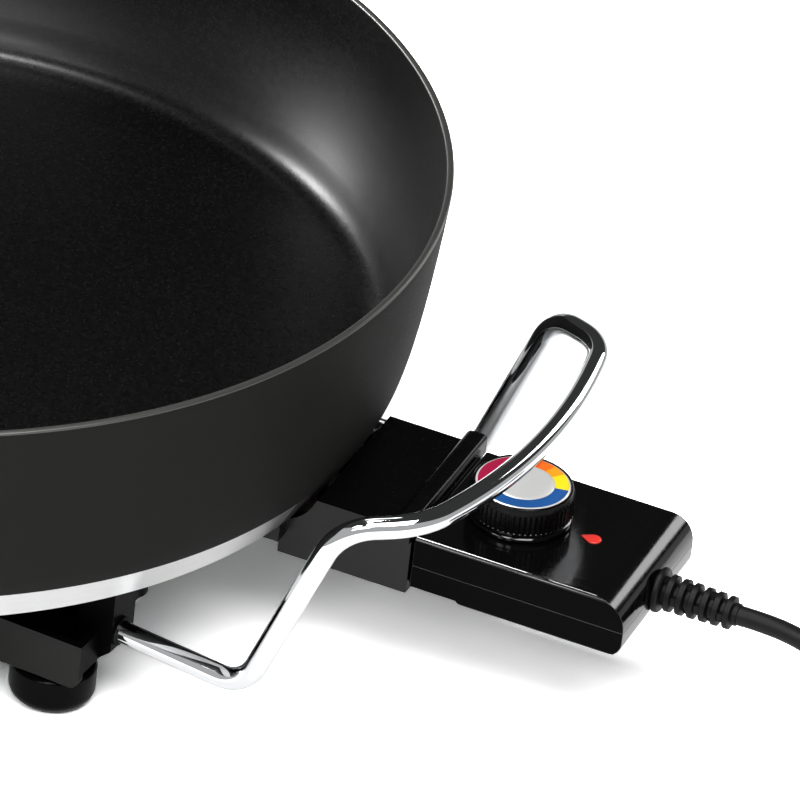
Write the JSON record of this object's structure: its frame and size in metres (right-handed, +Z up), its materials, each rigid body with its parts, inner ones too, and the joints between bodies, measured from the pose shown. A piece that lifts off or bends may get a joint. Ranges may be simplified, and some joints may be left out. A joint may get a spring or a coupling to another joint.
{
  "type": "electric skillet",
  "caption": "Round electric skillet with a flared non-stick pan on foot rails, bent wire handles and a plug-in temperature control with a turning knob.",
  "frame": {"origin": "middle of the skillet's footprint on the worktop, without its lead", "axes": "+X towards the plug-in control, +Z up, -Y towards the front foot rail"},
  "size_m": [0.7661, 0.4, 0.141],
  "materials": {
    "coated_cast_aluminium": "die-cast, black non-stick inside and heat-proof paint outside, bare machined band",
    "heater_sheath": "dull oxidised tube",
    "plated_steel": "nickel plated",
    "ceramic": "glazed steatite",
    "black_phenolic": "moulded, semi-gloss",
    "zinc_steel": "zinc plated",
    "black_phenolic_matt": "moulded, satin",
    "foot_phenolic": "moulded, satin",
    "chromed_wire": "bright chrome on round steel wire",
    "carrier_phenolic": "filled moulding",
    "contact_brass": "spring brass",
    "frame_steel": "zinc plated sheet",
    "wire_insulation": "insulated copper",
    "lamp_glass": "clear neon envelope",
    "red_lens": "transparent red",
    "knob_black": "moulded, ribbed",
    "dial_print": "printed coloured sectors",
    "dial_silver": "satin",
    "cord_rubber": "matt"
  },
  "bodies": {
    "pan": {"pan_body": "coated_cast_aluminium", "heating_element": "heater_sheath", "terminal_pins": "plated_steel", "pin_insulators": "ceramic", "hood": "black_phenolic", "hood_screws": "zinc_steel", "foot_rail_front": "black_phenolic_matt", "foot_rail_rear": "black_phenolic_matt", "rail_screws": "zinc_steel", "rod_screws": "zinc_steel", "foot_front_right": "foot_phenolic", "foot_front_left": "foot_phenolic", "foot_rear_right": "foot_phenolic", "foot_rear_left": "foot_phenolic", "foot_screws": "zinc_steel", "handle_right": "chromed_wire", "handle_left": "chromed_wire"},
    "control": {"upper_housing": "black_phenolic", "lower_housing": "black_phenolic", "housing_screws": "zinc_steel", "contact_carrier": "carrier_phenolic", "socket_contacts": "contact_brass", "probe_tube": "plated_steel", "push_rod": "ceramic", "thermostat_frame": "frame_steel", "insulator_stack": "ceramic", "contact_leaf_upper": "contact_brass", "contact_leaf_lower": "contact_brass", "lead_wires": "wire_insulation", "pilot_lamp": "lamp_glass", "pilot_lens": "red_lens", "strain_relief": "cord_rubber", "cord": "cord_rubber", "cord_coil": "cord_rubber", "cord_tail": "cord_rubber", "cord_tie": "cord_rubber", "plug_body": "cord_rubber", "plug_pins": "plated_steel", "plug_earth_clips": "plated_steel"},
    "knob": {"knob": "knob_black", "dial_plate": "dial_print", "dial_cap": "dial_silver", "spindle": "zinc_steel"}
  },
  "joints": [
    {"name": "control_pull", "type": "slide", "parent": "pan", "child": "control", "axis": [1, 0, 0], "range_m": [0, 0.07]},
    {"name": "knob_turn", "type": "hinge", "parent": "control", "child": "knob", "pos_m": [0.23094, 0, 0.07], "axis": [0, 0, 1], "range_deg": [-220, 50]}
  ]
}
